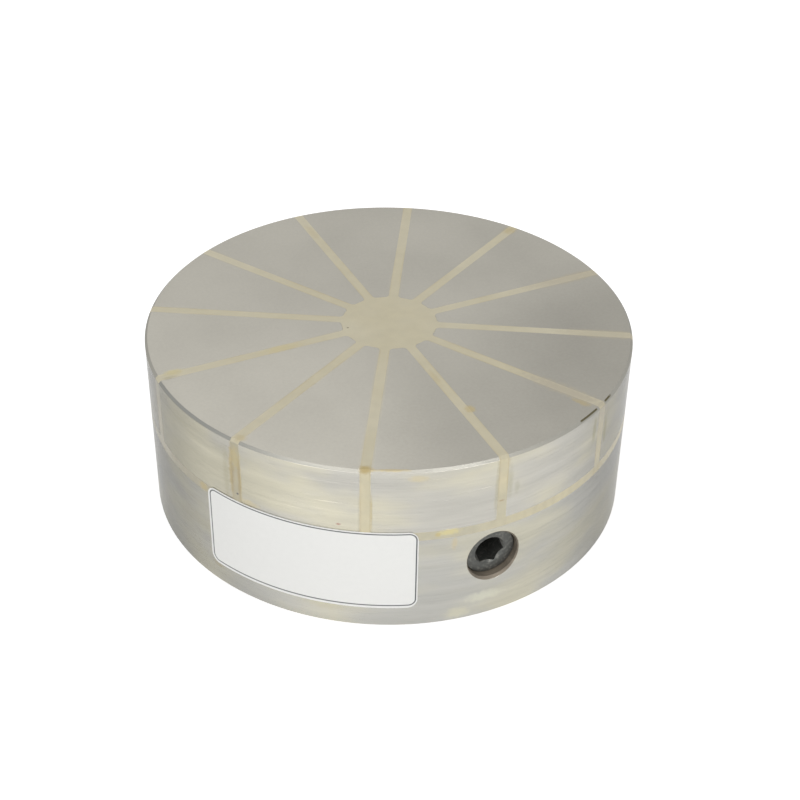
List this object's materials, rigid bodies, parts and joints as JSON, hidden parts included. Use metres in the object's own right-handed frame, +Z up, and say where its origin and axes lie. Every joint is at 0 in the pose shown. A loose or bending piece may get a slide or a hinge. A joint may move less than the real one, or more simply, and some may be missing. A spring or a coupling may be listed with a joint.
{
  "type": "magnetic chuck",
  "caption": "Round permanent magnetic chuck: radial poles in the working face, resin between them, and a hexagon key socket in the side of the steel base.",
  "frame": {"origin": "centre of the mounting face, on the chuck's axis", "axes": "+Z up along the chuck's axis towards the working face; the key enters along +Y, from -Y"},
  "size_m": [0.15, 0.15, 0.0571],
  "materials": {
    "ground_steel": "surface ground, satin",
    "turned_steel": "fine turned, bare",
    "resin": "cast epoxy, ground flush",
    "stainless": "turned",
    "bronze": "turned",
    "magnet": "nickel plated",
    "black_oxide": "black oxide, oiled",
    "seal_rubber": "nitrile",
    "screw_steel": "black oxide",
    "label_film": "satin white film"
  },
  "bodies": {
    "chuck": {"base_body": "turned_steel", "isolating_ring": "resin", "pole_segment_01": "ground_steel", "pole_segment_02": "ground_steel", "pole_segment_03": "ground_steel", "pole_segment_04": "ground_steel", "pole_segment_05": "ground_steel", "pole_segment_06": "ground_steel", "pole_segment_07": "ground_steel", "pole_segment_08": "ground_steel", "pole_segment_09": "ground_steel", "pole_segment_10": "ground_steel", "pole_segment_11": "ground_steel", "pole_segment_12": "ground_steel", "resin_spider": "resin", "centre_post": "stainless", "post_screw": "screw_steel", "thrust_washer": "bronze", "slide_disc": "bronze", "stop_screw": "screw_steel", "pole_screws": "screw_steel", "label": "label_film"},
    "key": {"key_shaft": "black_oxide", "shaft_seal": "seal_rubber"},
    "magnet_rotor": {"rotor": "turned_steel", "rotor_bush": "bronze", "magnet_01": "magnet", "magnet_02": "magnet", "magnet_03": "magnet", "magnet_04": "magnet", "magnet_05": "magnet", "magnet_06": "magnet", "magnet_07": "magnet", "magnet_08": "magnet", "magnet_09": "magnet", "magnet_10": "magnet", "magnet_11": "magnet", "magnet_12": "magnet"}
  },
  "joints": [
    {"name": "key_turn", "type": "hinge", "parent": "chuck", "child": "key", "pos_m": [0, -0.056, 0.0219], "axis": [0, 1, 0], "range_deg": [0, 180]},
    {"name": "rotor_turn", "type": "hinge", "parent": "chuck", "child": "magnet_rotor", "pos_m": [0, 0, 0.036], "axis": [0, 0, 1], "range_deg": [0, 15]}
  ],
  "couplings": [
    {"joint": "rotor_turn", "follows": "key_turn", "ratio": 0.083333}
  ]
}
